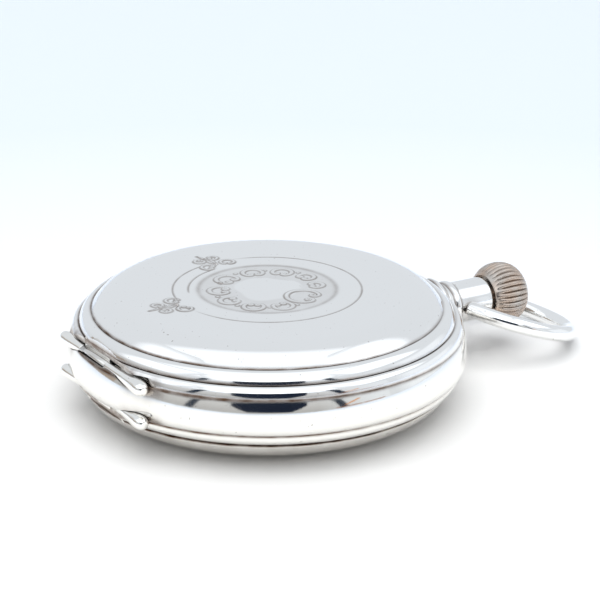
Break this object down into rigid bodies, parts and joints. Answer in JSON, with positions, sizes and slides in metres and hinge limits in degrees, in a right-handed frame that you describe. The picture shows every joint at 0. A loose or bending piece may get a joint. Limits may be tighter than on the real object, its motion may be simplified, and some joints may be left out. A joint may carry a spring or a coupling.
{
  "type": "hunter pocket watch",
  "caption": "Silver hunter pocket watch with a hinged lid, back cover and dust cover, ribbed crown, swinging bow and a going lever movement inside.",
  "frame": {"origin": "on the case's centre line, at the flat of the back cover that the watch lies on", "axes": "+Z from the back cover to the lid, +X out along the pendant and crown (3 o'clock), hinges at -X, +Y towards 12 o'clock"},
  "size_m": [0.073, 0.051, 0.0146],
  "materials": {
    "silver": "polished solid silver with fine handling marks and brown tarnish left in the grooves",
    "worn_gilt": "rose gilding worn through to nickel on the ribs",
    "gilt_brass": "fine frosted gilding on brass",
    "steel": "polished and straight-grained steel",
    "blued_steel": "heat-blued polished steel",
    "enamel": "white fired enamel on copper",
    "crystal": "clear domed watch glass"
  },
  "bodies": {
    "case": {"case_middle": "silver", "pendant": "silver", "bezel": "silver", "crystal": "crystal", "front_hinge_pin": "steel", "back_hinge_pin": "steel", "mainplate": "gilt_brass", "barrel_bridge": "gilt_brass", "train_bridge": "gilt_brass", "balance_cock": "gilt_brass", "pallet_bridge": "gilt_brass", "barrel_bridge_screw": "blued_steel", "train_bridge_screw": "blued_steel", "balance_cock_screw": "blued_steel", "case_screw_upper": "blued_steel", "case_screw_lower": "blued_steel", "setting_lever_screw": "steel", "crown_wheel_screw": "blued_steel", "click_screw": "blued_steel", "dial": "enamel", "hairspring": "blued_steel"},
    "front_cover": {"front_cover": "silver"},
    "back_cover": {"back_cover": "silver"},
    "cuvette": {"cuvette": "silver"},
    "bow": {"bow": "silver"},
    "winding_pinion": {"winding_pinion": "steel"},
    "sliding_pinion": {"sliding_pinion": "steel"},
    "stem": {"winding_stem": "steel"},
    "crown": {"crown": "worn_gilt"},
    "crown_wheel": {"crown_wheel": "steel"},
    "ratchet": {"ratchet_wheel": "steel", "barrel_arbor": "steel"},
    "click": {"click": "steel"},
    "barrel": {"mainspring_barrel": "gilt_brass", "barrel_cover": "gilt_brass", "mainspring": "steel"},
    "centre": {"centre_wheel": "gilt_brass", "centre_pinion": "steel", "cannon_pinion": "steel", "minute_hand": "blued_steel"},
    "third": {"third_wheel": "gilt_brass", "third_pinion": "steel"},
    "fourth": {"fourth_wheel": "gilt_brass", "fourth_pinion": "steel", "seconds_hand": "blued_steel"},
    "escape": {"escape_wheel": "steel", "escape_pinion": "steel"},
    "fork": {"pallet_fork": "steel"},
    "balance": {"balance_wheel": "gilt_brass", "balance_staff": "steel", "roller_table": "steel"},
    "minute_wheel": {"minute_wheel": "gilt_brass"},
    "hour": {"hour_wheel": "gilt_brass", "hour_hand": "blued_steel"},
    "setting_wheel": {"setting_wheel": "steel"},
    "setting_lever": {"setting_lever": "steel"},
    "clutch_lever": {"clutch_lever": "steel"},
    "lock_spring": {"lock_spring": "steel"},
    "fly_spring": {"fly_spring": "steel"},
    "regulator": {"regulator": "steel"}
  },
  "joints": [
    {"name": "front_cover_hinge", "type": "hinge", "parent": "case", "child": "front_cover", "pos_m": [-0.0237, 0, 0.0095], "axis": [0, -1, 0], "range_deg": [0, 90]},
    {"name": "back_cover_hinge", "type": "hinge", "parent": "case", "child": "back_cover", "pos_m": [-0.0237, 0, 0.0051], "axis": [0, 1, 0], "range_deg": [0, 90]},
    {"name": "cuvette_hinge", "type": "hinge", "parent": "case", "child": "cuvette", "pos_m": [-0.0237, 0, 0.0051], "axis": [0, 1, 0], "range_deg": [0, 76.5]},
    {"name": "bow_hinge", "type": "hinge", "parent": "case", "child": "bow", "pos_m": [0.0298, 0, 0.007], "axis": [0, -1, 0], "range_deg": [-100, 140]},
    {"name": "crown_turn", "type": "hinge", "parent": "case", "child": "winding_pinion", "pos_m": [0, 0, 0.0071], "axis": [1, 0, 0], "continuous": true},
    {"name": "crown_pull", "type": "slide", "parent": "winding_pinion", "child": "stem", "axis": [1, 0, 0], "range_m": [0, 0.0012]},
    {"name": "crown_push", "type": "slide", "parent": "stem", "child": "crown", "axis": [-1, 0, 0], "range_m": [0, 0.0006], "stiffness_N_per_m": 1500},
    {"name": "sliding_pinion_slide", "type": "slide", "parent": "winding_pinion", "child": "sliding_pinion", "axis": [-1, 0, 0], "range_m": [0, 0.00102]},
    {"name": "setting_lever_turn", "type": "hinge", "parent": "case", "child": "setting_lever", "pos_m": [0.0172, -0.005, 0.009], "axis": [0, 0, 1], "range_deg": [-14, 0]},
    {"name": "clutch_lever_turn", "type": "hinge", "parent": "case", "child": "clutch_lever", "pos_m": [0.0135, -0.006, 0.009], "axis": [0, 0, 1], "range_deg": [0, 9.8]},
    {"name": "lock_spring_flex", "type": "hinge", "parent": "case", "child": "lock_spring", "pos_m": [0.01251, 0.02001, 0.008], "axis": [0, 0, 1], "range_deg": [-1.5, 0]},
    {"name": "fly_spring_lift", "type": "hinge", "parent": "case", "child": "fly_spring", "pos_m": [-0.0069, -0.02257, 0.008], "axis": [0.6559, 0.7549, 0], "range_deg": [0, 2.5]},
    {"name": "crown_wheel_turn", "type": "hinge", "parent": "case", "child": "crown_wheel", "pos_m": [0.0104, 0, 0.00465], "axis": [0, 0, 1], "continuous": true},
    {"name": "ratchet_turn", "type": "hinge", "parent": "case", "child": "ratchet", "pos_m": [0.00264, 0.00985, 0.00465], "axis": [0, 0, 1], "continuous": true},
    {"name": "click_lift", "type": "hinge", "parent": "case", "child": "click", "pos_m": [-0.0086, 0.0116, 0.00465], "axis": [0, 0, 1], "range_deg": [0, 6]},
    {"name": "seconds_turn", "type": "hinge", "parent": "case", "child": "fourth", "pos_m": [0, -0.0106, 0.00615], "axis": [0, 0, 1], "continuous": true},
    {"name": "third_turn", "type": "hinge", "parent": "case", "child": "third", "pos_m": [0.00156, -0.0061, 0.0067], "axis": [0, 0, 1], "continuous": true},
    {"name": "minutes_turn", "type": "hinge", "parent": "case", "child": "centre", "pos_m": [0, 0, 0.00615], "axis": [0, 0, 1], "continuous": true},
    {"name": "barrel_turn", "type": "hinge", "parent": "case", "child": "barrel", "pos_m": [0.00264, 0.00985, 0.0066], "axis": [0, 0, 1], "continuous": true},
    {"name": "escape_turn", "type": "hinge", "parent": "case", "child": "escape", "pos_m": [-0.0046, -0.0119, 0.00675], "axis": [0, 0, 1], "continuous": true},
    {"name": "minute_wheel_turn", "type": "hinge", "parent": "case", "child": "minute_wheel", "pos_m": [0.00295, -0.00206, 0.00895], "axis": [0, 0, 1], "continuous": true},
    {"name": "hours_turn", "type": "hinge", "parent": "case", "child": "hour", "pos_m": [0, 0, 0.0095], "axis": [0, 0, 1], "continuous": true},
    {"name": "setting_wheel_turn", "type": "hinge", "parent": "case", "child": "setting_wheel", "pos_m": [0.00758, -0.00058, 0.00895], "axis": [0, 0, 1], "continuous": true},
    {"name": "pallet_fork_swing", "type": "hinge", "parent": "case", "child": "fork", "pos_m": [-0.00722, -0.00928, 0.0067], "axis": [0, 0, 1], "range_deg": [-4, 4]},
    {"name": "balance_swing", "type": "hinge", "parent": "case", "child": "balance", "pos_m": [-0.0104, -0.0061, 0.00525], "axis": [0, 0, 1], "range_deg": [-270, 270], "stiffness_Nm_per_rad": 0.0000016},
    {"name": "regulator_swing", "type": "hinge", "parent": "case", "child": "regulator", "pos_m": [-0.0104, -0.0061, 0.0036], "axis": [0, 0, 1], "range_deg": [-12, 12]}
  ],
  "couplings": [
    {"joint": "cuvette_hinge", "follows": "back_cover_hinge", "ratio": 0.85},
    {"joint": "fly_spring_lift", "follows": "front_cover_hinge", "ratio": 0.026},
    {"joint": "sliding_pinion_slide", "follows": "crown_pull", "ratio": 0.85},
    {"joint": "setting_lever_turn", "follows": "crown_pull", "rad_per_m": -203},
    {"joint": "clutch_lever_turn", "follows": "crown_pull", "rad_per_m": 141},
    {"joint": "lock_spring_flex", "follows": "crown_push", "rad_per_m": -41.4},
    {"joint": "crown_wheel_turn", "follows": "crown_turn", "ratio": 0.4},
    {"joint": "ratchet_turn", "follows": "crown_turn", "ratio": -0.26667},
    {"joint": "third_turn", "follows": "seconds_turn", "ratio": -0.13333},
    {"joint": "minutes_turn", "follows": "seconds_turn", "ratio": 0.016667},
    {"joint": "barrel_turn", "follows": "seconds_turn", "ratio": -0.0027778},
    {"joint": "escape_turn", "follows": "seconds_turn", "ratio": -9},
    {"joint": "minute_wheel_turn", "follows": "seconds_turn", "ratio": -0.0055556},
    {"joint": "hours_turn", "follows": "seconds_turn", "ratio": 0.0013889},
    {"joint": "setting_wheel_turn", "follows": "seconds_turn", "ratio": 0.0069444}
  ]
}
